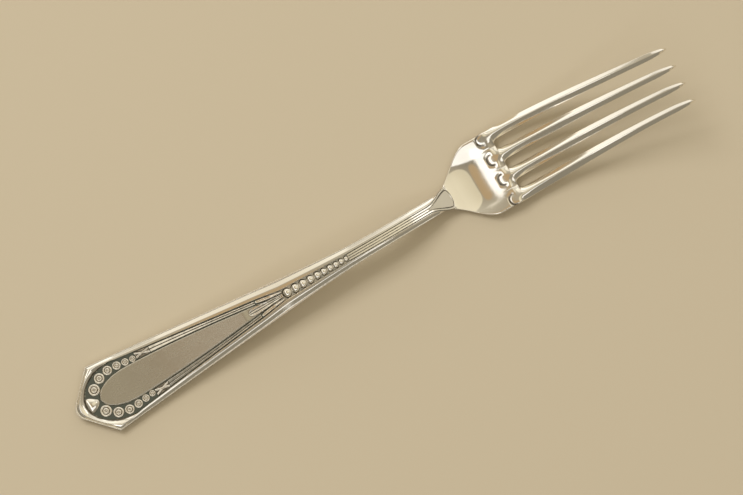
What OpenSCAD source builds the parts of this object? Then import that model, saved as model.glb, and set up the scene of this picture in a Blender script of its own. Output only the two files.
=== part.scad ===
// Dessert fork with four long tines, a dished palm, a reeded neck and a beaded, reeded handle.
// +X runs from the handle's end to the tine tips and +Z is up. The fork lies on its back on the
// plane z = 0, as on a table, and the origin is under the middle of its box.

/* [Lengths] */
// Handle, from its end to the collar of the bellflower
handle_length = 62.5; // [56:0.5:72]
// Stem that carries the string of beads
stem_length = 19.8; // [17:0.2:24]
// Reeded neck, from the last bead to the shoulders
neck_length = 31; // [27:0.5:38]
// Palm, from the shoulders to the start of the tines
palm_length = 12.4; // [11:0.2:15]
// Tines, from the palm to the tips
tine_length = 54.8; // [46:0.2:64]

/* [Side profile] */
// Distance of the flat rest under the handle from the handle's end
rest_setback = 5.5; // [4.5:0.1:7]
// Length of the flat rest
rest_length = 10; // [6:0.5:18]
// Width of the flat rest
rest_width = 8; // [5:0.1:8.2]
// Height of the arched stem's underside above the table
arch_height = 5.2; // [3:0.1:9]
// Place of the top of the arch, past the last bead
arch_offset = 9; // [5:0.5:13]
// Place of the lowest point of the palm's back, past the shoulders
low_offset = 6; // [4:0.2:8]
// Radius of the upward sweep of the tines
tine_sweep = 118; // [100:1:180]

/* [Blank] */
// Width across the corners of the handle's end
handle_width = 19; // [17:0.1:22]
// Distance of the corners from the handle's very end
corner_setback = 7.8; // [6.5:0.1:9.5]
// Radius of the blunt point at the handle's end
apex_radius = 3.2; // [2.2:0.1:4.2]
// Width of the slender stem and neck
stem_width = 4.6; // [4:0.1:5.6]
// Width of the palm
palm_width = 20.8; // [19:0.1:23]
// Thickness of the handle under its ornament
handle_thickness = 1.7; // [1.3:0.1:2.4]
// Thickness of the neck under its reeds
neck_thickness = 2.9; // [2.4:0.1:3.4]
// Thickness of the palm
palm_thickness = 2.1; // [1.8:0.1:2.6]

/* [Palm] */
// Rise of the palm's edges above its middle
palm_sag = 1; // [0.5:0.1:1.6]
// Depth of the dish struck into the palm
dish_depth = 0.9; // [0.4:0.05:0.9]
// Reach of the dish from its lowest point towards the neck
dish_back = 12; // [10:0.1:13]
// Reach of the dish from its lowest point towards the tines
dish_front = 10.5; // [9:0.1:11]

/* [Tines] */
// Distance between tine middles at the root
root_pitch = 5.9; // [5.6:0.05:6.3]
// Distance between tine middles at the tips
tip_pitch = 5.05; // [4.6:0.05:5.8]
// Width of a tine beyond its root
tine_width = 3.4; // [3:0.05:3.9]
// Width of a tine where its point begins
point_width = 2; // [1.4:0.05:2.4]
// Length of the point
point_length = 7.2; // [5:0.2:11]
// Thickness of a tine at its tip
tip_thickness = 0.8; // [0.6:0.05:1.2]
// Sideways bend of the tines at their tips, as on a well-used fork
tine_lean = 1.8; // [0:0.1:2.2]
// Length of the sloping valley that leads into each slot
valley_length = 4.4; // [3:0.1:5.4]

/* [Border] */
// Height of the raised border above the ground
border_height = 0.8; // [0.6:0.05:1]
// Width of the border at the handle's end, on the axis
end_border = 3.1; // [2.7:0.1:3.6]
// Half length of the oval that starts the sunk ground
oval_reach = 10.7; // [9:0.1:12]
// Width of the border beside the widest place of that oval
side_border = 1.9; // [1.5:0.1:2.4]

/* [Panel and reeds] */
// Distance of the plain panel's rounded end from the handle's end
panel_inset = 7.1; // [7.1:0.1:8.7]
// Width of the bead band between the border and the panel
bead_band = 3.1; // [3:0.1:3.5]
// Half width of the panel where it meets the bellflower
panel_tip = 1.6; // [1.2:0.05:1.8]
// Length of the panel's rounded end
panel_nose = 9.2; // [7:0.1:11]
// Height of the panel above the ground
panel_height = 0.6; // [0.4:0.05:0.8]
// Height of the reeds above the ground
reed_height = 0.5; // [0.35:0.05:0.7]
// Gap between neighbouring ornaments
ornament_gap = 0.15; // [0.1:0.01:0.25]

/* [Beads] */
// Distance of the rosettes' track from the handle's end
track_start = 5.7; // [5.3:0.1:6.3]
// Number of rosette beads in each row at the handle's end
rosettes = 6; // [4:1:7]
// Radius of the largest rosette, beside the keystone leaf
rosette_big = 1.65; // [1.5:0.05:1.8]
// Radius of the smallest rosette, beside the ribbon
rosette_small = 0.9; // [0.7:0.05:1.1]
// Length of the crossed ribbon that ties each row
ribbon_length = 4; // [3:0.1:5]
// Number of plain beads along the stem
stem_bead_count = 10; // [8:1:12]
// Ratio of the last plain bead's radius to the first one's
stem_bead_ratio = 0.58; // [0.5:0.01:0.8]

/* [Bellflower] */
// Length of the middle petal
petal_length = 10.3; // [8:0.1:12]
// Length of the side petals
side_petal_length = 7.4; // [6:0.1:9]
// Half width of the sunk ground at the side petals' tips
petal_spread = 2.6; // [2.6:0.1:3.4]
// Half width of the sunk ground at the collar
collar_half = 1.4; // [1.4:0.05:1.8]
// Half width of the sunk ground beside the neck's reeds
channel_half = 1; // [0.9:0.02:1.2]
// Length over which the neck's reeds spread to the shoulders
reed_fan = 6.6; // [5:0.1:9]

/* [Hidden] */

// Stations along the fork
overall_length = handle_length + stem_length + neck_length + palm_length + tine_length;
x_end = -overall_length / 2;
x_corner = x_end + corner_setback;
x_collar = x_end + handle_length;
x_bar = x_collar + stem_length;
x_shoulder = x_bar + neck_length;
x_root = x_shoulder + palm_length;
x_tip = x_root + tine_length;
x_rest = x_end + rest_setback;
x_lift = x_rest + rest_length;
x_arch = x_bar + arch_offset;
x_low = x_shoulder + low_offset;
x_slot = x_root + valley_length;
x_point = x_tip - point_length;
x_oval = x_end + end_border + oval_reach;
x_panel = x_end + panel_inset;
x_panel_full = x_panel + panel_nose;
x_leaf = x_end + end_border + ornament_gap;
x_track = x_end + track_start;
x_fan = x_shoulder - reed_fan;
x_side_petal = x_collar - side_petal_length;
x_middle_petal = x_collar - petal_length;

// The flare from the neck to the palm starts ahead of the shoulders and ends before the tines
flare_lead = 3.5;
flare_end = 2.6;
x_flare = x_shoulder - flare_lead;
x_full = x_root - flare_end;

// The handle's sides taper in a straight line and blend into the stem over this distance
taper_blend = 0.8;
taper = (handle_width - stem_width) / 2 / (x_bar - x_corner);

// The straight edges of the handle's end touch the blunt point here
apex_x = x_end + apex_radius;
corner_reach = norm([x_corner - apex_x, handle_width / 2]);
touch_angle = atan2(handle_width / 2, x_corner - apex_x) + acos(apex_radius / corner_reach);
touch = [apex_x + apex_radius * cos(touch_angle), apex_radius * sin(touch_angle)];
arc_angle = 180 - touch_angle;

// Half widths of the oval and of the panel
oval_half = handle_width / 2 - side_border;
panel_half = oval_half - bead_band;

// The border's mitre leans towards the stem, and its rails thin out at the shoulders
mitre_shift = 1.6;
rail_end = 0.5;
rail_fade = 0.35;
// Keystone leaf
leaf_half = 2.1;
leaf_tip = 0.15;
leaf_height = 0.7;
// Share of the leaf's length where it is widest, and the share that its blunt start cuts off
leaf_shoulder = 0.25;
leaf_blunt = 0.02;
// Rosettes start at this angle of their track, which runs a little inside the middle of its band
first_angle = 32;
track_inset = 0.08;
// Ribbon, petals and neck reeds
ribbon_strand = 0.2;
ribbon_pad = 0.1;
middle_half = 1;
petal_waist = 0.5;
petal_point = 0.85;
petal_curl = 1.5;
petal_height = 0.75;
// Share of the middle petal's length where it is widest, and the share that its blunt tip cuts off
petal_shoulder = 0.3;
petal_blunt = 0.01;
bead_share = 0.48;
bead_gap = 0.04;
reed_groove = 0.08;
fan_reed = 0.5;
// The tongue ends in an arc that reaches this far onto the palm
tongue_reach = 0.5;

// Slices along each length of the fork
handle_slices = 42;
stem_slices = 10;
neck_slices = 20;
palm_slices = 16;
root_slices = 8;
tine_slices = 26;
// The tine's slices crowd towards its tip by this power
tine_crowding = 1.3;
// Slices along the rounded ends of the handle, the border, the panel, the leaf, the ribbons and the tongue
apex_slices = 5;
end_slices = 32;
nose_slices = 10;
leaf_slices = 10;
ribbon_slices = 12;
arc_slices = 6;
// Steps across each sweep
palm_steps = 10;
neck_steps = 2;
edge_steps = 4;
back_steps = 6;
tine_steps = 10;
ridge_steps = 8;
ribbon_steps = 12;
// Fineness of the round ornaments, and of the search for each rosette's place in degrees
round_steps = 48;
march_angle = 0.5;
// Power of a ridge's section: a low one gives a flat top with rounded edges
panel_power = 0.3;
// Power of the panel's taper: 1 is straight, and more is bowed
panel_bow = 1.5;
leaf_power = 0.7;
tongue_power = 0.5;
// Angles of the rounded ends at which their first and last slices lie
apex_angle = 20;
nose_angle = 8;
arc_first_angle = 15;
arc_last_angle = 85;

// Thickness beyond the palm, and how far the cross dish fades towards the tips
root_thickness = 2.6;
tip_sag_share = 0.3;
// Share of a tine's thickness that its rounded flanks fall by, along the tine and where a slot starts
flank_share = 0.55;
slot_share = 0.35;
// Length of the bevel that falls into a slot's round end
bevel_length = 1.8;
flank_power = 1.4;
// Lift of a tine's rounded back edges as a share of its thickness
tine_edge_lift = 0.3;
// Lift of the back at the handle's very end
end_lift = 0.15;
// Share of the back that stays flat, and the lift of its rounded edges as a share of the thickness
handle_flat = 0.6;
neck_flat = 0.1;
palm_flat = 0.5;
edge_lift = 0.45;
// Width of the blunt tip, and the power of the point's outline: 0.5 is an ellipse, more is sharper
tip_width = 0.4;
point_power = 0.75;
// First slice of the handle, just inside the end of its blunt point
first_slice = 0.05;

function smooth(t) = let (c = min(1, max(0, t))) c * c * (3 - 2 * c);
function ramp(x, x0, x1) = smooth((x - x0) / (x1 - x0));
function mix(a, b, t) = a + (b - a) * t;
function soft_max(a, b, k) = (a + b + sqrt(pow(a - b, 2) + k * k)) / 2;
function steps(a, b, n) = [for (i = [0:n]) mix(a, b, i / n)];
function inner_steps(a, b, n) = [for (i = [1:1:n - 1]) mix(a, b, i / n)];

// Outline of the blank: half width at a station
function side_half(x) =
    soft_max(handle_width / 2 - (x - x_corner) * taper, stem_width / 2, taper_blend)
    + ramp(x, x_flare, x_full) * (palm_width - stem_width) / 2;
function end_half(x) =
    x < touch.x ? sqrt(max(0, pow(apex_radius, 2) - pow(x - apex_x, 2)))
    : mix(touch.y, side_half(x_corner), (x - touch.x) / (x_corner - touch.x));
function half_width(x) = x < x_corner ? end_half(x) : side_half(x);

// Side profile: height of the back, thickness, and the dish across the palm
function back_z(x) =
    x < x_arch ? arch_height * ramp(x, x_lift, x_arch)
    : x < x_low ? arch_height * (1 - ramp(x, x_arch, x_low))
    : tine_sweep - sqrt(pow(tine_sweep, 2) - pow(x - x_low, 2));
function thickness(x) =
    x < x_arch ? mix(handle_thickness, neck_thickness, ramp(x, x_end, x_arch))
    : x < x_low ? mix(neck_thickness, palm_thickness, ramp(x, x_arch, x_low))
    : x < x_slot ? mix(palm_thickness, root_thickness, ramp(x, x_low, x_slot))
    : mix(root_thickness, tip_thickness, (x - x_slot) / (x_tip - x_slot));
function sag(x, y) =
    palm_sag * pow(2 * y / palm_width, 2)
    * (x < x_root ? ramp(x, x_flare, x_root) : mix(1, tip_sag_share, (x - x_root) / tine_length));
function dish(x, y) =
    let (reach = x < x_low ? dish_back : dish_front,
         r = pow((x - x_low) / reach, 2) + pow(2 * y / palm_width, 2))
    r < 1 ? dish_depth * pow(1 - r, 2) : 0;
function top_z(x, y) = back_z(x) + thickness(x) + sag(x, y) - dish(x, y);
function slope(x) = atan2(top_z(x + first_slice, 0) - top_z(x - first_slice, 0), 2 * first_slice);
function flat_half(x) =
    x < x_rest ? min(rest_width / 2, handle_flat * half_width(x))
    : x < x_arch ? mix(rest_width, neck_flat * stem_width, ramp(x, x_lift, x_arch)) / 2
    : mix(neck_flat, palm_flat, ramp(x, x_arch, x_root)) * half_width(x);
function bottom_z(x, y) =
    let (f = flat_half(x), q = max(0, (abs(y) - f) / (half_width(x) - f)))
    back_z(x) + end_lift * (1 - ramp(x, x_end, x_rest)) + sag(x, y) + edge_lift * thickness(x) * q * q;

// Stations that every sweep along the fork shares, so that what lies on the blank meets its facets
grid = concat(steps(x_corner, x_collar, handle_slices), steps(x_collar, x_bar, stem_slices),
              steps(x_bar, x_shoulder, neck_slices), steps(x_shoulder, x_root, palm_slices));
function stations(a, b) =
    concat([a], [for (x = grid) if (x > a + first_slice && x < b - first_slice) x], [b]);

// Solid through a list of rings with equal numbers of points, each ring wound the same way. Its ends are
// one face each, or fans about the section's middle where part of the section is straight
function middle(ring) = [for (p = ring) 1] * ring / len(ring);
module loft(rings, fans = false) {
    n = len(rings[0]);
    last = len(rings) - 1;
    start = (last + 1) * n;
    sides = [for (i = [0:last - 1]) for (j = [0:n - 1])
        let (a = i * n + j, b = i * n + (j + 1) % n)
        each [[a, b + n, b], [a, a + n, b + n]]];
    faces = [[for (j = [0:n - 1]) j], [for (j = [n - 1:-1:0]) last * n + j]];
    fan_faces = [for (j = [0:n - 1]) let (k = (j + 1) % n)
        each [[j, k, start], [last * n + k, last * n + j, start + 1]]];
    polyhedron(concat([for (r = rings) each r], fans ? [middle(rings[0]), middle(rings[last])] : []),
               concat(sides, fans ? fan_faces : faces));
}

module mirrored(side) {
    if (side > 0) children();
    else mirror([0, 1, 0]) children();
}

// The struck blank between two stations: the top in even steps, the back in steps that keep its flat
// part whole, with a number of steps across each of them
function blank_ring(x, top_steps, flat_steps) =
    let (w = half_width(x), f = flat_half(x))
    concat([for (y = steps(w, -w, top_steps)) [x, y, top_z(x, y)]],
           [for (y = concat(steps(-w, -f, edge_steps), inner_steps(-f, f, flat_steps),
                            steps(f, w, edge_steps)))
               [x, y, bottom_z(x, y)]]);
module blank(stations, top_steps, flat_steps)
    loft([for (x = stations) blank_ring(x, top_steps, flat_steps)], fans = true);

// Tines: middle line, width and the slots between them
function lean(x) = -tine_lean * pow(max(0, x - x_slot) / (x_tip - x_slot), 2);
function pitch(x) = mix(root_pitch, tip_pitch, ramp(x, x_slot, x_tip));
function body_half(x) = mix(tine_width, point_width, max(0, (x - x_slot) / (x_point - x_slot))) / 2;
function point_half(x) =
    mix(tip_width, point_width, pow(max(0, 1 - pow((x - x_point) / point_length, 2)), point_power)) / 2;
function tine_half(x) = x < x_point ? body_half(x) : point_half(x);
function slot_half(x) =
    let (full = pitch(x) / 2 - tine_half(x), d = x - x_slot)
    d <= 0 ? 0 : d < full ? sqrt(full * full - pow(full - d, 2)) : full;
function flank_drop(x) =
    thickness(x) * (x < x_slot ? slot_share * ramp(x, x_slot - bevel_length, x_slot)
                    : mix(slot_share, flank_share, ramp(x, x_slot, x_slot + valley_length)));
// Half width of a tine on one side, which is a slot's side or the fork's outer edge
function flank_half(x, outer) = outer
    ? mix(half_width(x_root) - 1.5 * root_pitch, tine_half(x), ramp(x, x_root, x_slot))
    : pitch(x) / 2 - slot_half(x);
// Lift of the back's edges: the palm's own at the root, then the tine's own rounded edges
function palm_lift(y) =
    edge_lift * pow(max(0, (2 * abs(y) / palm_width - palm_flat) / (1 - palm_flat)), 2);
function tine_lift(x, q) = tine_edge_lift * ramp(x, x_slot, x_slot + valley_length) * q * q;
function tine_ring(x, index) =
    let (mid = (index - 1.5) * pitch(x) + lean(x),
         low = mid - flank_half(x, index == 0),
         high = mid + flank_half(x, index == 3),
         drop = flank_drop(x),
         root = 1 - ramp(x, x_root, x_slot))
    concat([for (y = steps(high, low, tine_steps))
               let (q = y > mid ? (y - mid) / (high - mid) : (mid - y) / (mid - low))
               [x, y, top_z(x, y) - drop * pow(q, flank_power)]],
           [for (y = steps(low, high, tine_steps / 2))
               let (q = y > mid ? (y - mid) / (high - mid) : (mid - y) / (mid - low))
               [x, y, back_z(x) + sag(x, y) + thickness(x) * (root * palm_lift(y) + tine_lift(x, q))]]);
module tine(index) {
    root = steps(x_root, x_slot, root_slices);
    body = [for (t = steps(1 / tine_slices, 1, tine_slices - 1))
        mix(x_slot, x_tip, 1 - pow(1 - t, tine_crowding))];
    color("silver") loft([for (x = concat(root, body)) tine_ring(x, index)]);
}

module palm() color("silver") blank(stations(x_shoulder, x_root), palm_steps, back_steps);
module neck() color("silver") blank(stations(x_bar, x_shoulder), neck_steps, 1);
module stem() color("silver") blank(stations(x_collar, x_bar), 1, 1);
module handle_plate() {
    point = [for (a = steps(apex_angle, arc_angle, apex_slices)) apex_x - apex_radius * cos(a)];
    straight = concat(inner_steps(touch.x, x_rest, 3), [x_rest], inner_steps(x_rest, x_corner, 2));
    color("gray") blank(concat([x_end + first_slice], point, straight, stations(x_corner, x_collar)), 1, 1);
}

// Inner edge of the raised border, which is the outer edge of the sunk ground
function inner_half(x) =
    x < x_oval ? oval_half * sqrt(max(0, 1 - pow((x_oval - x) / oval_reach, 2)))
    : x < x_side_petal ? mix(oval_half, petal_spread, (x - x_oval) / (x_side_petal - x_oval))
    : x < x_collar ? mix(petal_spread, collar_half, (x - x_side_petal) / side_petal_length)
    : x < x_bar ? mix(collar_half, channel_half, (x - x_collar) / stem_length)
    : channel_half + ramp(x, x_fan, x_shoulder) * (half_width(x_shoulder) - rail_end - channel_half);

// Section of the border from its outer edge to its inner edge: share across and share of its height
border_section = [[0, 0], [0, 0.45], [0.06, 0.55], [0.2, 0.58], [0.26, 0.48], [0.36, 0.78],
                  [0.52, 0.97], [0.7, 1], [0.86, 0.86], [0.96, 0.5], [1, 0]];
function border_rise(x) = border_height * mix(1, rail_fade, ramp(x, x_fan, x_shoulder));
function border_ring(outer, inner) = [for (s = border_section)
    let (p = mix(outer, inner, s.x)) [p.x, p.y, top_z(p.x, p.y) + s.y * border_rise(p.x)]];
// The border's three lengths meet in mitres that run from the corners to the oval
function mitre_x(x) = x + mitre_shift * max(0, 1 - (x - x_corner) / oval_reach);
function rail_ring(x) = border_ring([x, half_width(x)], [mitre_x(x), inner_half(mitre_x(x))]);
mitre_angle = acos((x_oval - x_corner - mitre_shift) / oval_reach);
corner = [x_corner, half_width(x_corner)];
arc_length = arc_angle / 180 * PI * apex_radius;
arc_share = arc_length / (arc_length + norm(corner - touch));
function end_outer(s) =
    s < arc_share ? let (a = arc_angle * s / arc_share)
        [apex_x - apex_radius * cos(a), apex_radius * sin(a)]
    : mix(touch, corner, (s - arc_share) / (1 - arc_share));
function end_inner(s) =
    [x_oval - oval_reach * cos(mitre_angle * s), oval_half * sin(mitre_angle * s)];
function other_side(p) = [p.x, -p.y];
function end_ring(s) = s < 0
    ? border_ring(other_side(end_outer(-s)), other_side(end_inner(-s)))
    : border_ring(end_outer(s), end_inner(s));
module border_end_piece() color("silver") loft([for (s = steps(-1, 1, end_slices)) end_ring(s)]);
module border_rail(side) color("silver") mirrored(side)
    loft([for (x = stations(x_corner, x_shoulder)) rail_ring(x)]);

// Rounded ridge on the ground: its middle line, half width and height are functions of x
module ridge(places, mid, half, rise, power = 1)
    loft([for (x = places) [for (a = steps(0, 180, ridge_steps))
        let (y = mid(x) + half(x) * cos(a)) [x, y, top_z(x, y) + rise * pow(sin(a), power)]]]);

// Plain panel with a rounded end, and its gently bowed taper towards the bellflower
function panel_edge(x) =
    x < x_panel_full ? panel_half * sqrt(max(0, 1 - pow((x_panel_full - x) / panel_nose, 2)))
    : mix(panel_half, panel_tip, pow((x - x_panel_full) / (x_middle_petal - x_panel_full), panel_bow));
module centre_panel() {
    nose = [for (a = steps(nose_angle, 90, nose_slices)) x_panel_full - panel_nose * cos(a)];
    body = stations(x_panel_full + first_slice, x_middle_petal - ornament_gap);
    color("tan")
        ridge(concat(nose, body), function (x) 0, function (x) panel_edge(x), panel_height, panel_power);
}

// Keystone leaf between the two largest rosettes
function leaf_edge(x) =
    let (t = (x - x_leaf) / (x_panel - ornament_gap - x_leaf))
    t < leaf_shoulder ? leaf_half * sqrt((t + leaf_blunt) / (leaf_shoulder + leaf_blunt))
    : mix(leaf_half, leaf_tip, (t - leaf_shoulder) / (1 - leaf_shoulder));
module keystone_leaf() color("silver")
    ridge(steps(x_leaf, x_panel - ornament_gap, leaf_slices), function (x) 0, function (x) leaf_edge(x),
          leaf_height, leaf_power);

// Rosettes in a row along an oval track between the panel and the border
function rosette_radius(i) = mix(rosette_big, rosette_small, i / (rosettes - 1));
track_half = (oval_half + panel_half) / 2 - track_inset;
track_reach = x_oval - x_track;
track_taper = (inner_half(x_oval) - inner_half(x_oval + ribbon_length)) / ribbon_length;
function track(a) = a <= 90
    ? [x_oval - track_reach * cos(a), track_half * sin(a)]
    : let (d = (a - 90) / 180 * PI * track_reach) [x_oval + d, track_half - d * track_taper];
function march(from, a, reach) = norm(track(a) - from) >= reach ? a : march(from, a + march_angle, reach);
function rosette_angle(i) = i == 0 ? first_angle
    : let (a = rosette_angle(i - 1))
      march(track(a), a, rosette_radius(i - 1) + rosette_radius(i) + ornament_gap);
function rosette_place(i) = track(rosette_angle(i));
last_rosette = rosette_place(rosettes - 1);
// Turned section of a rosette as shares of its radius: a rim, a groove, a ring and a small hollow
rosette_section = [[0, 0], [1, 0], [1, 0.2], [0.9, 0.42], [0.74, 0.46], [0.66, 0.36],
                   [0.54, 0.6], [0.36, 0.7], [0.2, 0.64], [0, 0.5]];
module rosette(r) rotate_extrude($fn = round_steps) polygon(rosette_section * r);
module seated(x, y) translate([x, y, top_z(x, y)]) rotate([0, -slope(x), 0]) children();
module rosette_row(side) color("silver") mirrored(side)
    for (i = [0:rosettes - 1]) {
        p = rosette_place(i);
        seated(p.x, p.y) rosette(rosette_radius(i));
    }

// Crossed ribbon at the end of each row: a thin pad in the band between the panel and the border,
// with two strands that change places along it
x_ribbon = last_rosette.x + rosette_small + ornament_gap;
x_reeds = x_ribbon + ribbon_length + ornament_gap;
function band_y(x, share) =
    mix(panel_edge(x) + ornament_gap, inner_half(x) - ornament_gap, share);
function strand(share, mid) = max(0, 1 - pow((share - mid) / ribbon_strand, 2));
function ribbon_rise(share, t) = share <= 0 || share >= 1 ? 0
    : ribbon_pad + (reed_height - ribbon_pad)
      * max(strand(share, mix(ribbon_strand, 1 - ribbon_strand, t)),
            strand(share, mix(1 - ribbon_strand, ribbon_strand, t)));
function ribbon_ring(x) =
    let (t = (x - x_ribbon) / ribbon_length)
    [for (u = steps(1, 0, ribbon_steps)) let (y = band_y(x, u)) [x, y, top_z(x, y) + ribbon_rise(u, t)]];
module ribbon(side) color("silver") mirrored(side)
    loft([for (x = steps(x_ribbon, x_ribbon + ribbon_length, ribbon_slices)) ribbon_ring(x)]);

// Two reeds on each side of the panel, from the ribbon to the bellflower
module reed_pair(side) color("silver") mirrored(side)
    for (share = [0.25, 0.75])
        ridge(stations(x_reeds, x_side_petal - ornament_gap),
              function (x) band_y(x, share),
              function (x) (band_y(x, 1) - band_y(x, 0) - ornament_gap) / 4, reed_height);

// Bellflower: a middle petal and two side petals that close at the collar
function middle_edge(x) =
    let (t = (x - x_middle_petal) / petal_length)
    middle_half * sqrt(min(1, (t + petal_blunt) / petal_shoulder))
    * mix(1, petal_waist, max(0, (t - petal_shoulder) / (1 - petal_shoulder)));
function side_outer(x) = inner_half(x) - ornament_gap;
function side_inner(x) =
    mix(side_outer(x) - petal_point, middle_edge(x) + ornament_gap,
        smooth(petal_curl * (x - x_side_petal) / side_petal_length));
module middle_petal() color("silver")
    ridge(stations(x_middle_petal, x_collar), function (x) 0, function (x) middle_edge(x), petal_height);
module side_petal(side) color("silver") mirrored(side)
    ridge(stations(x_side_petal, x_collar),
          function (x) (side_outer(x) + side_inner(x)) / 2,
          function (x) (side_outer(x) - side_inner(x)) / 2, petal_height);

// Graduated plain beads that fill the stem from the collar to the neck
first_bead = stem_length / (stem_bead_count * (1 + stem_bead_ratio));
function bead_radius(i) = first_bead * mix(1, stem_bead_ratio, i / (stem_bead_count - 1));
function bead_x(i) = i == 0 ? x_collar + bead_radius(0)
    : bead_x(i - 1) + bead_radius(i - 1) + bead_radius(i);
module bead(r) {
    rise = bead_share * r;
    ball = (r * r + rise * rise) / (2 * rise);
    intersection() {
        translate([0, 0, rise - ball]) sphere(ball, $fn = round_steps);
        translate([-r, -r, 0]) cube([2 * r, 2 * r, 2 * r]);
    }
}
module stem_beads() color("silver")
    for (i = [0:stem_bead_count - 1]) seated(bead_x(i), 0) bead(bead_radius(i) - bead_gap);

// Neck: a middle reed that widens into a tongue, between two reeds that spread to the shoulders
function neck_reed_width(x) =
    mix((2 * channel_half - 4 * reed_groove) / 3, fan_reed, ramp(x, x_fan, x_shoulder));
function neck_reed_mid(x) = inner_half(x) - reed_groove - neck_reed_width(x) / 2;
function tongue_edge(x) =
    let (full = inner_half(min(x, x_shoulder)) - 2 * reed_groove - neck_reed_width(min(x, x_shoulder)))
    x < x_shoulder ? full : full * sqrt(max(0, 1 - pow((x - x_shoulder) / tongue_reach, 2)));
module neck_tongue() {
    arc = [for (a = steps(arc_first_angle, arc_last_angle, arc_slices)) x_shoulder + tongue_reach * sin(a)];
    color("silver")
        ridge(concat(stations(x_bar, x_shoulder), arc), function (x) 0, function (x) tongue_edge(x),
              reed_height, tongue_power);
}
module neck_reed(side) color("silver") mirrored(side)
    ridge(stations(x_bar, x_shoulder), function (x) neck_reed_mid(x),
          function (x) neck_reed_width(x) / 2, reed_height);

palm();
tine(3);  // tine_1
tine(2);  // tine_2
tine(1);  // tine_3
tine(0);  // tine_4
neck();
stem();
handle_plate();
border_end_piece();  // border_end
border_rail(1);  // border_left
border_rail(-1);  // border_right
centre_panel();
keystone_leaf();
rosette_row(1);  // rosettes_left
rosette_row(-1);  // rosettes_right
ribbon(1);  // ribbon_left
ribbon(-1);  // ribbon_right
reed_pair(1);  // reeds_left
reed_pair(-1);  // reeds_right
middle_petal();
side_petal(1);  // side_petal_left
side_petal(-1);  // side_petal_right
stem_beads();
neck_tongue();
neck_reed(1);  // neck_reed_left
neck_reed(-1);  // neck_reed_right
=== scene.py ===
# %% [markdown]
# # A dessert fork in silver plate
# The fork is struck from one blank of nickel silver and plated with silver. It lies on its back on a
# pale table: a pointed handle with a beaded and reeded border, an arched stem, a dished palm and four
# long tines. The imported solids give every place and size. Each of them is replaced here by a finer skin
# made from nearly the same curves, because polished metal shows every flat facet.

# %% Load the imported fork
import math

import bmesh
import bpy
import numpy as np
from mathutils import Matrix, Vector


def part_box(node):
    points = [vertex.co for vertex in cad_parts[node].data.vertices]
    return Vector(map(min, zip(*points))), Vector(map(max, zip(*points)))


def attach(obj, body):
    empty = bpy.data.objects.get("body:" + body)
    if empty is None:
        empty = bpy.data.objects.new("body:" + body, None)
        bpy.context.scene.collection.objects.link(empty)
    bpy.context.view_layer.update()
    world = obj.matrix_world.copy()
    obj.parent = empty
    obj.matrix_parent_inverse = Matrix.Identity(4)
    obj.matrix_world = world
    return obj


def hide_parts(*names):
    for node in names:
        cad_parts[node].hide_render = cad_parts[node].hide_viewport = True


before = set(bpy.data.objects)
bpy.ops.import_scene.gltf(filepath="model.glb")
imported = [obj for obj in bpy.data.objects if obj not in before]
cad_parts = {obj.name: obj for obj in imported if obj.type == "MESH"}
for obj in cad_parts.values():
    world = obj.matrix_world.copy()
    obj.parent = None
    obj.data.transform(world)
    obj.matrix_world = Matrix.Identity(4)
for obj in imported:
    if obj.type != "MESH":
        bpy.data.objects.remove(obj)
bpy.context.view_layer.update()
MM = 0.001

# %% [markdown]
# ## Stations along the fork
# The solids meet at fixed places along the long axis: collar, last bead, shoulders, tine roots. Reading
# them from the boxes of the solids keeps the skins in step with the frame. All shapes below are worked
# out in millimetres and turned into metres only when a mesh is made.

# %% Stations
def low(node):
    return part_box(node)[0] / MM


def high(node):
    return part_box(node)[1] / MM


x_end = low("border_end").x
x_corner = low("border_left").x
x_collar = low("stem").x
x_bar = low("neck").x
x_shoulder = low("palm").x
x_root = low("tine_1").x
x_tip = high("tine_1").x
x_side_petal = low("side_petal_left").x
x_middle_petal = low("middle_petal").x
print("stations:", [round(x, 1) for x in (x_end, x_corner, x_collar, x_bar, x_shoulder, x_root, x_tip)])

# %% [markdown]
# ## The blank
# A fork starts as a flat blank that is cut to an outline, rolled to its thicknesses and struck to its
# side profile. Three families of curves say all of that: the half width, the height of the back, and the
# thickness. Smooth ramps join their stretches, so light runs along the metal without a kink.

# %% Curve helpers
def smooth(t):
    c = np.clip(t, 0, 1)
    return c * c * (3 - 2 * c)


def ramp(x, x0, x1):
    """A smooth step from 0 at x0 to 1 at x1."""
    return smooth((np.asarray(x, float) - x0) / (x1 - x0))


def mix(a, b, t):
    return a + (b - a) * t


def soft_max(a, b, k):
    """The larger of two curves, with the corner between them rounded over a width of k."""
    return (a + b + np.sqrt((a - b) ** 2 + k * k)) / 2


def arc(t):
    """A quarter circle: 1 at t = 0, falling to 0 at t = 1."""
    return np.sqrt(np.maximum(0, 1 - t * t))


# %% Stretches of the blank
VALLEY_LENGTH = 4.4
REST_INSET = 5.5
LIFT_RUN = 10.0
ARCH_PAST_BAR = 9.0
LOW_PAST_SHOULDER = 6.0
FLARE_BEFORE_SHOULDER = 3.5
FULL_BEFORE_ROOT = 2.6
x_rest = x_end + REST_INSET
x_lift = x_rest + LIFT_RUN
x_arch = x_bar + ARCH_PAST_BAR
x_low = x_shoulder + LOW_PAST_SHOULDER
x_slot = x_root + VALLEY_LENGTH
x_flare = x_shoulder - FLARE_BEFORE_SHOULDER
x_full = x_root - FULL_BEFORE_ROOT
print("arch top at", round(x_arch, 1), "palm's lowest point at", round(x_low, 1))

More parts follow.
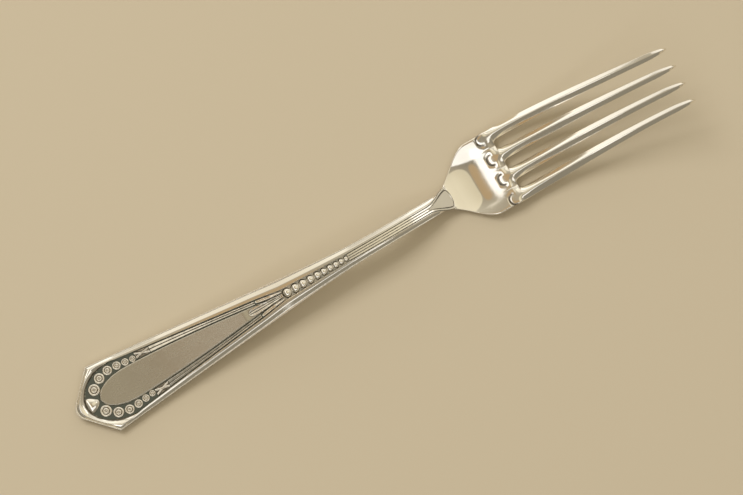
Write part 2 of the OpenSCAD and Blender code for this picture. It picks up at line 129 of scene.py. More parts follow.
# %% Outline
HANDLE_WIDTH = 19.0
STEM_WIDTH = 4.6
PALM_WIDTH = 20.8
APEX_RADIUS = 3.2
TAPER_BLEND = 0.8
taper = (HANDLE_WIDTH - STEM_WIDTH) / 2 / (x_bar - x_corner)
apex_x = x_end + APEX_RADIUS
corner_angle = math.atan2(HANDLE_WIDTH / 2, x_corner - apex_x)
corner_reach = math.hypot(x_corner - apex_x, HANDLE_WIDTH / 2)
touch_angle = corner_angle + math.acos(APEX_RADIUS / corner_reach)
touch = np.array([apex_x + APEX_RADIUS * math.cos(touch_angle), APEX_RADIUS * math.sin(touch_angle)])


def side_half(x):
    straight = HANDLE_WIDTH / 2 - (x - x_corner) * taper
    flare = ramp(x, x_flare, x_full) * (PALM_WIDTH - STEM_WIDTH) / 2
    return soft_max(straight, STEM_WIDTH / 2, TAPER_BLEND) + flare


def half_width(x):
    x = np.asarray(x, float)
    point = APEX_RADIUS * arc((x - apex_x) / APEX_RADIUS)
    edge = np.interp(x, (touch[0], x_corner), (touch[1], side_half(x_corner)))
    return np.where(x < touch[0], point, np.where(x < x_corner, edge, side_half(x)))


print("width over the handle's corners:", round(2 * float(half_width(x_corner)), 2), "mm")

# %% Side profile
HANDLE_THICKNESS = 1.7
NECK_THICKNESS = 2.9
PALM_THICKNESS = 2.1
ROOT_THICKNESS = 2.6
TIP_THICKNESS = 0.8
ARCH_HEIGHT = 5.2
TINE_SWEEP = 118.0


def back_z(x):
    x = np.asarray(x, float)
    rise = ARCH_HEIGHT * ramp(x, x_lift, x_arch)
    fall = ARCH_HEIGHT * (1 - ramp(x, x_arch, x_low))
    sweep = TINE_SWEEP - np.sqrt(TINE_SWEEP ** 2 - (x - x_low) ** 2)
    return np.where(x < x_arch, rise, np.where(x < x_low, fall, sweep))


def thickness(x):
    x = np.asarray(x, float)
    handle = mix(HANDLE_THICKNESS, NECK_THICKNESS, ramp(x, x_end, x_arch))
    neck = mix(NECK_THICKNESS, PALM_THICKNESS, ramp(x, x_arch, x_low))
    palm = mix(PALM_THICKNESS, ROOT_THICKNESS, ramp(x, x_low, x_slot))
    tine = mix(ROOT_THICKNESS, TIP_THICKNESS, (x - x_slot) / (x_tip - x_slot))
    return np.select([x < x_arch, x < x_low, x < x_slot], [handle, neck, palm], tine)


print("back's height at the tips:", round(float(back_z(x_tip)), 2), "mm")

# %% Hollow of the palm and top surface
PALM_SAG = 1.15
SAG_POWER = 4
SAG_BEND = 0.68
TIP_SAG_SHARE = 0.3
DISH_DEPTH = 0.9
DISH_BACK = 12.0
DISH_FRONT = 10.5


def crown(y):
    """Rise across the palm: flat in the middle, then an even slope out to the edge."""
    c = np.abs(2 * y / PALM_WIDTH)
    bent = np.minimum(c, SAG_BEND)
    return bent ** SAG_POWER + SAG_POWER * SAG_BEND ** (SAG_POWER - 1) * (c - bent)


def sag(x, y):
    fade = mix(1, TIP_SAG_SHARE, (np.asarray(x, float) - x_root) / (x_tip - x_root))
    share = np.where(x < x_root, ramp(x, x_flare, x_root), fade)
    return PALM_SAG * crown(y) * share


def dish(x, y):
    r = ((x - x_low) / np.where(x < x_low, DISH_BACK, DISH_FRONT)) ** 2 + crown(y)
    return DISH_DEPTH * np.maximum(0, 1 - r) ** 2


def top_z(x, y):
    return back_z(x) + thickness(x) + sag(x, y) - dish(x, y)


print("height over the arch:", round(float(top_z(x_arch, 0)), 2), "mm")

# %% [markdown]
# ## From rings of points to a mesh
# Every piece is a skin drawn through rings of points, as a ship's planks are drawn over its frames. One
# helper joins the rings with quads and closes both ends. A point can carry a number called recess: 0 on
# high, rubbed metal and 1 in the deep corners, where old silver turns dark and where shade is painted
# into the colour. The materials read it.

# %% Skins
def points_at(x, y, z):
    return np.stack([np.broadcast_to(x, y.shape), y, z], -1)


def swept(rings, recess=0.0):
    """A closed skin through rings of points in mm, and the recess of each point."""
    count, around, _ = rings.shape
    i, j = np.meshgrid(np.arange(count - 1), np.arange(around), indexing="ij")
    a = i * around + j
    b = i * around + (j + 1) % around
    faces = np.stack([a, a + around, b + around, b], -1).reshape(-1, 4).tolist()
    last = (count - 1) * around
    faces.append(list(range(around))[::-1])
    faces.append([last + k for k in range(around)])
    marks = np.broadcast_to(recess, (count, around)).reshape(-1)
    return rings.reshape(-1, 3), faces, marks


def mirrored(skin):
    points, faces, marks = skin
    return points * (1, -1, 1), [f[::-1] for f in faces], marks


# %% Pieces
CREASE = math.radians(38)


def make_piece(node, skins, slot="polished_silver"):
    """One object from closed skins. It stands for a CAD node and takes the finish of a slot."""
    points, faces, marks, start = [], [], [], 0
    for p, f, m in skins:
        points.append(p)
        faces += [[k + start for k in face] for face in f]
        marks.append(m)
        start += len(p)
    mesh = bpy.data.meshes.new("silver_" + node)
    mesh.from_pydata((np.concatenate(points) * MM).tolist(), [], faces)
    recess = mesh.attributes.new("recess", "FLOAT", "POINT")
    recess.data.foreach_set("value", np.concatenate(marks).astype(np.float32))
    work = bmesh.new()
    work.from_mesh(mesh)
    bmesh.ops.recalc_face_normals(work, faces=work.faces)
    work.to_mesh(mesh)
    work.free()
    mesh.shade_smooth()
    mesh.set_sharp_from_angle(angle=CREASE)
    piece = bpy.data.objects.new("silver_" + node, mesh)
    bpy.context.scene.collection.objects.link(piece)
    mesh.materials.append(finish[slot])
    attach(piece, "root")
    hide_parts(node)
    print(f"{piece.name}: {len(mesh.vertices)} points, {len(mesh.polygons)} faces")


def make_pair(node, skins):
    """A piece on the left side of the fork and its mirror image on the right."""
    make_piece(node + "_left", skins)
    make_piece(node + "_right", [mirrored(skin) for skin in skins])


# %% [markdown]
# ## Finishes
# Three finishes cover the fork. Polished silver mirrors the room, with hair-fine scratches from years of
# washing and drying. The plain panel is rubbed to a satin that smears reflections along the handle. The
# sunk ground is never reached by the polishing cloth and stays dark. Two effects serve them all, so each
# is a node group: fine scratches, and a darkening where a point's recess is high, which is partly
# tarnished silver and partly painted shade.

# %% Node helpers
def new_group(name, inputs, outputs):
    group = bpy.data.node_groups.new(name, "ShaderNodeTree")
    for title, kind, default in inputs:
        socket = group.interface.new_socket(title, in_out="INPUT", socket_type=kind)
        socket.default_value = default
    for title, kind in outputs:
        group.interface.new_socket(title, in_out="OUTPUT", socket_type=kind)
    return group, group.nodes.new("NodeGroupInput"), group.nodes.new("NodeGroupOutput")


def add_node(tree, kind, inputs=None, **settings):
    made = tree.nodes.new(kind)
    for key, value in settings.items():
        setattr(made, key, value)
    for key, value in (inputs or {}).items():
        if isinstance(value, bpy.types.NodeSocket):
            tree.links.new(value, made.inputs[key])
        else:
            made.inputs[key].default_value = value
    return made


def math_node(tree, operation, a, b):
    return add_node(tree, "ShaderNodeMath", {0: a, 1: b}, operation=operation).outputs[0]


def vector_node(tree, operation, a, b):
    return add_node(tree, "ShaderNodeVectorMath", {0: a, 1: b}, operation=operation)


def noise(tree, place, scale, detail, roughness=0.5):
    values = {"Vector": place, "Scale": scale, "Detail": detail, "Roughness": roughness}
    return add_node(tree, "ShaderNodeTexNoise", values).outputs["Fac"]


def rescale(tree, value, start, stop, to_start=0.0, to_stop=1.0, kind="LINEAR"):
    values = {"Value": value, "From Min": start, "From Max": stop, "To Min": to_start, "To Max": to_stop}
    return add_node(tree, "ShaderNodeMapRange", values, interpolation_type=kind).outputs[0]


def mix_colour(tree, share, a, b):
    """A Mix node's colour sockets have numbers: 6 and 7 go in, 2 comes out."""
    return add_node(tree, "ShaderNodeMix", {"Factor": share, 6: a, 7: b}, data_type="RGBA").outputs[2]


# %% Fine scratches
STREAK_SCALE = 9000.0
STREAK_DETAIL = 3.0
STREAK_ROUGHNESS = 0.6
WEAR_SCALE = 260.0
WEAR_DETAIL = 4.0


def build_scratches():
    """Hair-fine scratches along the fork: a height for bump and a mask for roughness."""
    inputs = [("Fineness", "NodeSocketFloat", 1.0), ("Stretch", "NodeSocketFloat", 12.0)]
    outputs = [("Height", "NodeSocketFloat"), ("Mask", "NodeSocketFloat")]
    tree, enter, leave = new_group("Fine scratches", inputs, outputs)
    place = add_node(tree, "ShaderNodeTexCoord").outputs["Object"]
    along = math_node(tree, "DIVIDE", 1.0, enter.outputs["Stretch"])
    scale = add_node(tree, "ShaderNodeCombineXYZ", {"X": along, "Y": 1.0, "Z": 1.0}).outputs[0]
    stretched = vector_node(tree, "MULTIPLY", place, scale).outputs[0]
    fineness = math_node(tree, "MULTIPLY", enter.outputs["Fineness"], STREAK_SCALE)
    streaks = noise(tree, stretched, fineness, STREAK_DETAIL, STREAK_ROUGHNESS)
    wear = noise(tree, place, WEAR_SCALE, WEAR_DETAIL)
    tree.links.new(streaks, leave.inputs["Height"])
    tree.links.new(math_node(tree, "MULTIPLY", streaks, wear), leave.inputs["Mask"])
    return tree


scratches = build_scratches()
print("group:", scratches.name)

# %% Tarnished silver and painted shade
GRIME_SCALE = 900.0
GRIME_DETAIL = 3.0
GRIME_RANGE = (0.3, 0.7)
GRIME_SPREAD = 0.14
DARK_RANGE = (0.25, 0.85)
PATINA_SCALE = 90.0
PATINA_DETAIL = 2.0
PATINA_COLOUR = (0.72, 0.58, 0.38, 1)


def build_tarnish_and_shade():
    """Colour of silver that darkens where the recess is high, with a faint warm patina all over."""
    inputs = [("Clean", "NodeSocketColor", (0.93, 0.90, 0.84, 1)),
              ("Dark", "NodeSocketColor", (0.1, 0.09, 0.07, 1)),
              ("Recess", "NodeSocketFloat", 0.0),
              ("Patina", "NodeSocketFloat", 0.15)]
    outputs = [("Color", "NodeSocketColor"), ("Mask", "NodeSocketFloat")]
    tree, enter, leave = new_group("Tarnish and painted shade", inputs, outputs)
    place = add_node(tree, "ShaderNodeTexCoord").outputs["Object"]
    grime = noise(tree, place, GRIME_SCALE, GRIME_DETAIL)
    uneven = rescale(tree, grime, *GRIME_RANGE, -GRIME_SPREAD, GRIME_SPREAD)
    # The recess darkens the colour: tarnished silver in the hollows, and painted shade at feet, grooves
    # and lines.
    dark_amount = math_node(tree, "ADD", enter.outputs["Recess"], uneven)
    mask = rescale(tree, dark_amount, *DARK_RANGE, kind="SMOOTHSTEP")
    slow = noise(tree, place, PATINA_SCALE, PATINA_DETAIL)
    warmth = math_node(tree, "MULTIPLY", slow, enter.outputs["Patina"])
    warm = mix_colour(tree, warmth, enter.outputs["Clean"], PATINA_COLOUR)
    tree.links.new(mix_colour(tree, mask, warm, enter.outputs["Dark"]), leave.inputs["Color"])
    tree.links.new(mask, leave.inputs["Mask"])
    return tree


tarnish_and_shade = build_tarnish_and_shade()
print("group:", tarnish_and_shade.name)

# %% Materials
WORN_RANGE = (0.12, 0.42)
DARK_ROUGHNESS = 0.3
SCRATCH_DEPTH = 0.00002


def make_finish(name, clean, dark, patina, smoothness, scratch, bump, fineness=1.0, stretch=14.0):
    """A silver finish: smoothness is the lowest roughness and scratch what the scratches add to it."""
    material = bpy.data.materials.new(name)
    material.use_nodes = True
    tree = material.node_tree
    shader = tree.nodes["Principled BSDF"]
    shader.inputs["Metallic"].default_value = 1.0
    recess = add_node(tree, "ShaderNodeAttribute", attribute_name="recess").outputs["Fac"]
    values = {"Clean": clean, "Dark": dark, "Patina": patina, "Recess": recess}
    tone = add_node(tree, "ShaderNodeGroup", values, node_tree=tarnish_and_shade)
    values = {"Fineness": fineness, "Stretch": stretch}
    lines = add_node(tree, "ShaderNodeGroup", values, node_tree=scratches)
    worn = rescale(tree, lines.outputs["Mask"], *WORN_RANGE, smoothness, smoothness + scratch)
    dull = math_node(tree, "MULTIPLY", tone.outputs["Mask"], DARK_ROUGHNESS)
    values = {"Strength": bump, "Distance": SCRATCH_DEPTH, "Height": lines.outputs["Height"]}
    relief = add_node(tree, "ShaderNodeBump", values)
    tree.links.new(tone.outputs["Color"], shader.inputs["Base Color"])
    tree.links.new(math_node(tree, "ADD", worn, dull), shader.inputs["Roughness"])
    tree.links.new(relief.outputs["Normal"], shader.inputs["Normal"])
    return material


FINISHES = {
    "polished_silver": dict(clean=(0.94, 0.91, 0.85, 1), dark=(0.13, 0.11, 0.08, 1), patina=0.16,
                            smoothness=0.05, scratch=0.10, bump=0.05),
    "satin_silver": dict(clean=(0.54, 0.51, 0.445, 1), dark=(0.16, 0.13, 0.10, 1), patina=0.06,
                         smoothness=0.25, scratch=0.04, bump=0.25, fineness=1.4, stretch=30.0),
    "toned_silver": dict(clean=(0.90, 0.87, 0.80, 1), dark=(0.145, 0.16, 0.14, 1), patina=0.20,
                         smoothness=0.10, scratch=0.15, bump=0.08),
}
finish = {name: make_finish(name, **values) for name, values in FINISHES.items()}
print("finishes:", sorted(finish))

# %% [markdown]
# ## The blank's pieces
# The handle plate, stem, neck and palm are one sweep in four lengths. A ring runs over the top and back
# along the underside. The top's edge is rounded over, as a cutter leaves it after polishing, and the back
# stays flat in the middle so the fork can rest. Points crowd towards the edges, where the light turns.

# %% Back and edges of the blank
REST_WIDTH = 8.0
HANDLE_FLAT = 0.6
NECK_FLAT = 0.1
PALM_FLAT = 0.5
EDGE_LIFT = 0.45
END_LIFT = 0.15
LEAST_RADIUS = 1e-6


def flat_half(x):
    end = np.minimum(REST_WIDTH / 2, HANDLE_FLAT * half_width(x))
    handle = mix(REST_WIDTH, NECK_FLAT * STEM_WIDTH, ramp(x, x_lift, x_arch)) / 2
    front = mix(NECK_FLAT, PALM_FLAT, ramp(x, x_arch, x_root)) * half_width(x)
    return np.select([x < x_rest, x < x_arch], [end, handle], front)


def bottom_z(x, y):
    flat = flat_half(x)
    q = np.maximum(0, (np.abs(y) - flat) / (half_width(x) - flat))
    middle = back_z(x) + END_LIFT * (1 - ramp(x, x_end, x_rest)) + sag(x, y)
    return middle + EDGE_LIFT * thickness(x) * q * q


def rounded_edge(inset, radius):
    """Drop of a surface near its edge, where inset is the distance from the edge."""
    t = np.clip(1 - inset / np.maximum(radius, LEAST_RADIUS), 0, 1)
    return radius * (1 - arc(t))


# %% Sweep of the blank
SLICE = 0.3
TOP_POINTS = 61
BACK_POINTS = 41
EDGE_LIMIT = 0.9


def stations(a, b, step=SLICE):
    return np.linspace(a, b, max(2, int(math.ceil((b - a) / step)) + 1))


def crowded(count):
    """Shares from 1 to -1 that crowd towards both ends."""
    return np.sin(np.linspace(math.pi / 2, -math.pi / 2, count))


def blank_rings(places, edge_radius):
    x = places[:, None]
    half = half_width(x)
    y_top = half * crowded(TOP_POINTS)[None]
    radius = np.minimum(np.reshape(edge_radius, (-1, 1)), half * EDGE_LIMIT)
    drop = rounded_edge(half - np.abs(y_top), radius)
    y_back = -half * crowded(BACK_POINTS)[None]
    top = points_at(x, y_top, top_z(x, y_top) - drop)
    return np.concatenate([top, points_at(x, y_back, bottom_z(x, y_back))], 1)


# %% Palm
PALM_SLICE = 0.2
PALM_EDGE = 0.55
NECK_EDGE = 0.25
SHOULDER_STEP = 0.12
STEP_LENGTH = 2.5
palm_x = stations(x_shoulder, x_root, PALM_SLICE)
palm = blank_rings(palm_x, mix(NECK_EDGE, PALM_EDGE, ramp(palm_x, x_shoulder, x_full)))
step_down = SHOULDER_STEP * np.maximum(0, 1 - (palm_x - x_shoulder) / STEP_LENGTH)
palm[:, 1:TOP_POINTS - 1, 2] -= step_down[:, None]
make_piece("palm", [swept(palm)])

# %% [markdown]
# ## The sunk ground and its border
# The handle's ornament lies in a shallow field: an oval at the end that tapers into a channel along the
# stem. The border round it is a roll with a fine lip outside. Its three lengths meet in mitres at the
# corners, so it is swept as three pieces from one section. The plate under it shows only in the field.

# %% Border curves
END_BORDER = 3.1
OVAL_REACH = 10.7
OVAL_HALF = 7.6
PETAL_SPREAD = 2.6
COLLAR_HALF = 1.4
CHANNEL_HALF = 1.0
RAIL_END = 0.5
RAIL_FADE = 0.35
REED_FAN = 6.6
BORDER_HEIGHT = 0.8
x_oval = x_end + END_BORDER + OVAL_REACH
x_fan = x_shoulder - REED_FAN


def inner_half(x):
    x = np.asarray(x, float)
    oval = OVAL_HALF * arc((x_oval - x) / OVAL_REACH)
    taper_in = np.interp(x, (x_oval, x_side_petal, x_collar, x_bar),
                         (OVAL_HALF, PETAL_SPREAD, COLLAR_HALF, CHANNEL_HALF))
    spread = ramp(x, x_fan, x_shoulder) * (half_width(x_shoulder) - RAIL_END - CHANNEL_HALF)
    return np.where(x < x_oval, oval, np.where(x < x_bar, taper_in, CHANNEL_HALF + spread))


def border_rise(x):
    return BORDER_HEIGHT * mix(1, RAIL_FADE, ramp(x, x_fan, x_shoulder))


print("field's half width:", OVAL_HALF, "mm, falling to", CHANNEL_HALF, "mm")

# %% Border section
LIP_SHARE = 0.15
LIP_BASE = 0.40
LIP_RISE = 0.08
LIP_POINTS = 9
END_CREST = 0.45
RAIL_CREST = 0.92
BEND_SHARE = 0.6
BEND_RISE = 0.82
LOWER_POINTS = 8
UPPER_POINTS = 6
INNER_FALL = 0.75
END_FALL = 1.4
RAIL_FALL = 2.0
FALL_POINTS = 17
FOOT_SHARE = 0.6
GROOVE_WIDTH = 0.03
GROOVE_DARKNESS = 0.55


def border_section(rail):
    """Shares across and up the border, counted from its outer edge, and its recess. Rail is 0 round the
    handle's end and 1 along its sides."""
    rail = rail[:, None]
    crest = mix(END_CREST, RAIL_CREST, rail)
    edge = np.zeros_like(crest)
    lip = np.linspace(math.pi, 0, LIP_POINTS)
    lower = np.linspace(0, BEND_SHARE, LOWER_POINTS)
    upper = np.linspace(BEND_SHARE, 1, UPPER_POINTS)[1:]
    climb = np.concatenate([lower, upper])[None]
    bend = np.interp(climb, (0, BEND_SHARE, 1), (0, BEND_RISE, 1))
    fall = np.linspace(0, 1, FALL_POINTS)[None, 1:]
    lip_across = LIP_SHARE / 2 * (1 + np.cos(lip)) + edge
    lip_rise = LIP_BASE + LIP_RISE * np.sin(lip) + edge
    roll_rise = mix(LIP_BASE, 1, bend) + edge
    inner_rise = 1 - INNER_FALL * fall ** mix(END_FALL, RAIL_FALL, rail)
    roll, inner = mix(LIP_SHARE, crest, climb), mix(crest, 1, fall)
    across = np.concatenate([edge, lip_across, roll, inner, edge + 1], 1)
    rise = np.concatenate([edge, lip_rise, roll_rise, inner_rise, edge], 1)
    # A dark line in the groove behind the lip, and a dark inner foot: painted shade and tarnished silver.
    groove = GROOVE_DARKNESS * np.exp(-((across - LIP_SHARE) / GROOVE_WIDTH) ** 2)
    foot_width = FOOT_SHARE * (1 - crest)
    foot = smooth((across - 1 + foot_width) / foot_width)
    return across, rise, np.maximum(groove, foot)


def border_skin(outer, inner, rail):
    """The border's section swept between an outer and an inner line of plan points."""
    across, rise, recess = border_section(rail)
    p = outer[:, None] + (inner - outer)[:, None] * across[..., None]
    x, y = p[..., 0], p[..., 1]
    return swept(points_at(x, y, top_z(x, y) + rise * border_rise(x)), recess)


# %% Border round the end
END_RINGS = 121
MITRE_SHIFT = 1.6
corner = np.array([x_corner, float(half_width(x_corner))])
arc_angle = math.pi - touch_angle
arc_length = arc_angle * APEX_RADIUS
arc_share = arc_length / (arc_length + np.linalg.norm(corner - touch))
mitre_angle = math.acos((x_oval - x_corner - MITRE_SHIFT) / OVAL_REACH)


def end_outer(s):
    a = arc_angle * np.minimum(1, s / arc_share)
    point = np.stack([apex_x - APEX_RADIUS * np.cos(a), APEX_RADIUS * np.sin(a)], -1)
    t = np.clip((s - arc_share) / (1 - arc_share), 0, 1)[:, None]
    return np.where((s < arc_share)[:, None], point, touch + (corner - touch) * t)


def end_inner(s):
    a = mitre_angle * s
    return np.stack([x_oval - OVAL_REACH * np.cos(a), OVAL_HALF * np.sin(a)], -1)


turn = np.linspace(-1, 1, END_RINGS)
flip = np.stack([np.ones_like(turn), np.sign(turn)], -1)
end = border_skin(end_outer(abs(turn)) * flip, end_inner(abs(turn)) * flip, np.zeros_like(turn))
make_piece("border_end", [end])

# %% Borders along the sides
CREST_SHIFT_LENGTH = 9.0
rail_x = stations(x_corner, x_shoulder)
mitre_x = rail_x + MITRE_SHIFT * np.maximum(0, 1 - (rail_x - x_corner) / OVAL_REACH)
rail_outer = np.stack([rail_x, half_width(rail_x)], -1)
rail_inner = np.stack([mitre_x, inner_half(mitre_x)], -1)
rail_share = ramp(rail_x, x_corner, x_corner + CREST_SHIFT_LENGTH)
make_pair("border", [border_skin(rail_outer, rail_inner, rail_share)])

# %% Stem and neck
GROUND_MARGIN = 0.1
STEM_STAIN = 0.58
GROUND_STOP = 0.4
TONGUE_BACK = 0.6
x_tongue = x_shoulder - TONGUE_BACK


def ground_stain(rings):
    """Recess of the sunk ground between the borders, on the upper side of rings of the blank."""
    inside = np.abs(rings[..., 1]) < inner_half(rings[..., 0]) + GROUND_MARGIN
    inside[:, TOP_POINTS:] = False
    stop = 1 - ramp(rings[..., 0], x_tongue - GROUND_STOP, x_tongue)
    return inside * stop * mix(1, STEM_STAIN, ramp(rings[..., 0], x_middle_petal, x_collar))


for name, first, last in (("stem", x_collar, x_bar), ("neck", x_bar, x_shoulder)):
    length = blank_rings(stations(first, last), NECK_EDGE)
    make_piece(name, [swept(length, ground_stain(length))], "toned_silver")

# %% Handle plate
FIRST_SLICE = 0.05
POINT_START = math.radians(12)
POINT_RINGS = 12
EDGE_SLICE = 0.5
point_x = apex_x - APEX_RADIUS * np.cos(np.linspace(POINT_START, arc_angle, POINT_RINGS))
plate_x = np.concatenate([[x_end + FIRST_SLICE], point_x, stations(touch[0], x_corner, EDGE_SLICE)[1:-1],
                          stations(x_corner, x_collar)])
plate = blank_rings(plate_x, 0.0)
make_piece("handle_plate", [swept(plate, ground_stain(plate))], "toned_silver")

# %% [markdown]
# ## Raised ornament
# Petals, reeds, panel and leaf all rise from the ground inside an outline that is given as a half width
# along the fork. A mound takes that outline, rounds its edge over, and may carry ribs. The distance to
# the outline is measured across its slope, so blunt ends are rounded like the sides. A mound's foot is
# darkened, partly as tarnished silver and partly as painted shade, and more darkening can be laid where
# the cloth misses it.

# %% Mounds on the ground
ACROSS = 33
SEAT = 0.2
FOOT_BLEND = 0.15


def mound(places, mid, half, rise, edge, foot, relief=None, darkening=None):
    """A closed mound from its middle line, half width, height and edge radius. Foot is the share of the
    height below which it is dark, partly tarnished silver and partly painted shade. Relief changes the
    height, and darkening adds more: a light, even oxide on the reeds and a painted shadow round the
    tongue."""
    slope = np.gradient(half, places)[:, None]
    x, half = places[:, None], half[:, None]
    across = crowded(ACROSS)[None]
    y = np.broadcast_to(mid, len(x))[:, None] + half * across
    inset = half * (1 - np.abs(across)) / np.sqrt(1 + slope ** 2)
    share = arc(np.clip(1 - inset / edge, 0, 1))
    height = rise * share
    if relief is not None:
        height = height + relief(x, across, inset) * share
    # Painted shade at the foot, where the mound meets the ground, and tarnished silver there too.
    dark = np.clip((foot - height / rise) / FOOT_BLEND, 0, 1)
    if darkening is not None:
        dark = np.maximum(dark, darkening(x, inset))
    top = points_at(x, y, top_z(x, y) + height)
    base = top[:, [-1, 0]].copy()
    base[..., 2] -= SEAT
    marks = np.concatenate([dark, np.ones((len(x), 2))], 1)
    return swept(np.concatenate([top, base], 1), marks)


def eased(a, b, count):
    """Stations that crowd towards both ends."""
    return a + (b - a) * (1 - np.cos(np.linspace(0, math.pi, count))) / 2


# %% [markdown]
# ## Panel and keystone leaf
# The plain panel fills the middle of the field, round at the handle's end and narrow at the other. A
# small keystone leaf sits between it and the border. The leaf could be a squashed sphere, but its outline
# has a blunt and a sharp end, so it is a mound that is taken down to a dome.

# %% Outline of the plain panel
PANEL_INSET = 7.1
PANEL_HALF = 4.5
PANEL_TIP = 1.6
PANEL_BOW = 1.5
PANEL_NOSE = 9.2
x_panel = x_end + PANEL_INSET
x_nose = x_panel + PANEL_NOSE


def panel_edge(x):
    x = np.asarray(x, float)
    nose = PANEL_HALF * arc((x_nose - x) / PANEL_NOSE)
    t = np.maximum(0, (x - x_nose) / (x_middle_petal - x_nose))
    return np.where(x < x_nose, nose, mix(PANEL_HALF, PANEL_TIP, t ** PANEL_BOW))


print("panel from", round(x_panel, 1), "with its full width at", round(x_nose, 1))

# %% Keystone leaf
GAP = 0.15
LEAF_HALF = 2.1
LEAF_HEIGHT = 0.7
LEAF_BLUNT = 0.24
LEAF_POINT = 0.95
LEAF_ENDS = (0.01, 0.97)
LEAF_RINGS = 41
LEAF_EDGE = 0.25
LEAF_FOOT = 0.2
LEAF_CREST = 0.375
DOME_FALL = 0.75
leaf_t = eased(*LEAF_ENDS, LEAF_RINGS)
leaf_share = (leaf_t - LEAF_ENDS[0]) / (LEAF_ENDS[1] - LEAF_ENDS[0])
leaf_x = mix(x_end + END_BORDER + GAP, x_panel - GAP, leaf_share)
leaf_form = leaf_t ** LEAF_BLUNT * (1 - leaf_t) ** LEAF_POINT
leaf_half = LEAF_HALF * leaf_form / leaf_form.max()


def domed(x, across, inset):
    """Takes a mound of the leaf's height down to a smooth dome that is low at its foot and its tip."""
    t = (x - leaf_x[0]) / (leaf_x[-1] - leaf_x[0])
    along = 1 - DOME_FALL * (2 * (t - LEAF_CREST)) ** 2
    return -LEAF_HEIGHT * (1 - along * (1 - DOME_FALL * across ** 2))


make_piece("keystone_leaf", [mound(leaf_x, 0.0, leaf_half, LEAF_HEIGHT, LEAF_EDGE, LEAF_FOOT, domed)])

# %% [markdown]
# ## Rosettes
# A row of small rosettes, cut into the die as rings round a pip, runs along each side of the panel. Each
# is a section spun about the ground's normal, which gives crisp rings with few points. They stand on a
# track between panel and border, and each moves along it until it clears the one before.

# %% Places of the rosettes
TRACK_START = 5.7
TRACK_INSET = 0.08
FIRST_ANGLE = 32.0
ROSETTES = 6
ROSETTE_BIG = 1.65
ROSETTE_SMALL = 0.9
RIBBON_LENGTH = 4.0
MARCH_STEP = 0.5
track_half = (OVAL_HALF + PANEL_HALF) / 2 - TRACK_INSET
track_reach = x_oval - x_end - TRACK_START
track_taper = float(inner_half(x_oval) - inner_half(x_oval + RIBBON_LENGTH)) / RIBBON_LENGTH


def track(angle):
    if angle <= 90:
        a = math.radians(angle)
        return np.array([x_oval - track_reach * math.cos(a), track_half * math.sin(a)])
    d = math.radians(angle - 90) * track_reach
    return np.array([x_oval + d, track_half - d * track_taper])


def rosette_places():
    places, angle = [], FIRST_ANGLE
    radii = np.linspace(ROSETTE_BIG, ROSETTE_SMALL, ROSETTES)
    for i, radius in enumerate(radii):
        if i:
            reach = radii[i - 1] + radius + GAP
            while np.linalg.norm(track(angle) - places[-1][0]) < reach:
                angle += MARCH_STEP
        places.append((track(angle), radius))
    return places


rosettes = rosette_places()
print("rosettes at", [round(place[0], 1) for place, radius in rosettes])

# %% Turned ornament
ROUND = 64
SLOPE_STEP = 0.05


def ground_slope(x):
    """Slope of the ground along the fork at x."""
    return math.atan2(float(top_z(x + SLOPE_STEP, 0) - top_z(x - SLOPE_STEP, 0)), 2 * SLOPE_STEP)


def turned(section, recess, radius, centre, spread=1.0):
    """A section spun about the ground's normal at a plan point, and spread across the fork."""
    a = np.linspace(0, 2 * math.pi, ROUND, endpoint=False)
    shape = section * radius
    x = shape[:, :1] * np.cos(a)[None]
    y = centre[1] + shape[:, :1] * np.sin(a)[None] * spread
    z = shape[:, 1:]
    tilt = ground_slope(centre[0])
    along = centre[0] + x * math.cos(tilt) - z * math.sin(tilt)
    up = float(top_z(centre[0], 0)) + x * math.sin(tilt) + z * math.cos(tilt)
    return swept(points_at(along, y, up), recess[:, None])


# %% Rosettes
# Each ring has a middle radius, a half width, a base and a rise, as shares of the rosette's radius.
ROSETTE_RINGS = ((0.78, 0.22, 0.0, 0.26), (0.34, 0.18, 0.08, 0.22), (0.05, 0.09, 0.12, 0.20))
RING_POINTS = 11
RING_DARK_FALLOFF = 3.4
PIP_HOLE = 0.02


def rosette_section():
    """Radius and height of the outer ring, the inner ring and the pip, and their recess."""
    half_turn = np.linspace(0, math.pi, RING_POINTS)
    mid, half, base, rise = np.array(ROSETTE_RINGS).T[..., None]
    radius = (mid + half * np.cos(half_turn)).ravel()
    height = (base + rise * np.sin(half_turn)).ravel()
    # Dark where each ring meets the ground or the next ring: painted shade in the grooves, and tarnished
    # silver.
    recess = np.tile(np.clip(1 - np.sin(half_turn) * RING_DARK_FALLOFF, 0, 1), len(ROSETTE_RINGS))
    keep = radius > PIP_HOLE
    return np.stack([radius, height], -1)[keep], recess[keep]


make_pair("rosettes", [turned(*rosette_section(), radius, place) for place, radius in rosettes])

# %% [markdown]
# ## Ribbons and reeds
# Past the last rosette a crossed ribbon ties two thin reeds, which run on to the bellflower. Two strands
# laid over each other would cut through one another, so the ribbon is one sheet that takes the higher
# strand at every point. The reeds are long mounds that fall outwards and stay a little dark.

# %% Ribbons
RIBBON_STRAND = 0.2
RIBBON_PAD = 0.1
RIBBON_SLICE = 0.1
RIBBON_POINTS = 41
RIBBON_SHADE = 1.2
RIBBON_SHADE_RANGE = (0.3, 0.64)
REED_HEIGHT = 0.5
last_place, last_radius = rosettes[-1]
x_ribbon = last_place[0] + last_radius + GAP


def band_y(x, share):
    return mix(panel_edge(x) + GAP, inner_half(x) - GAP, share)


def strand(share, mid):
    return arc((share - mid) / RIBBON_STRAND)


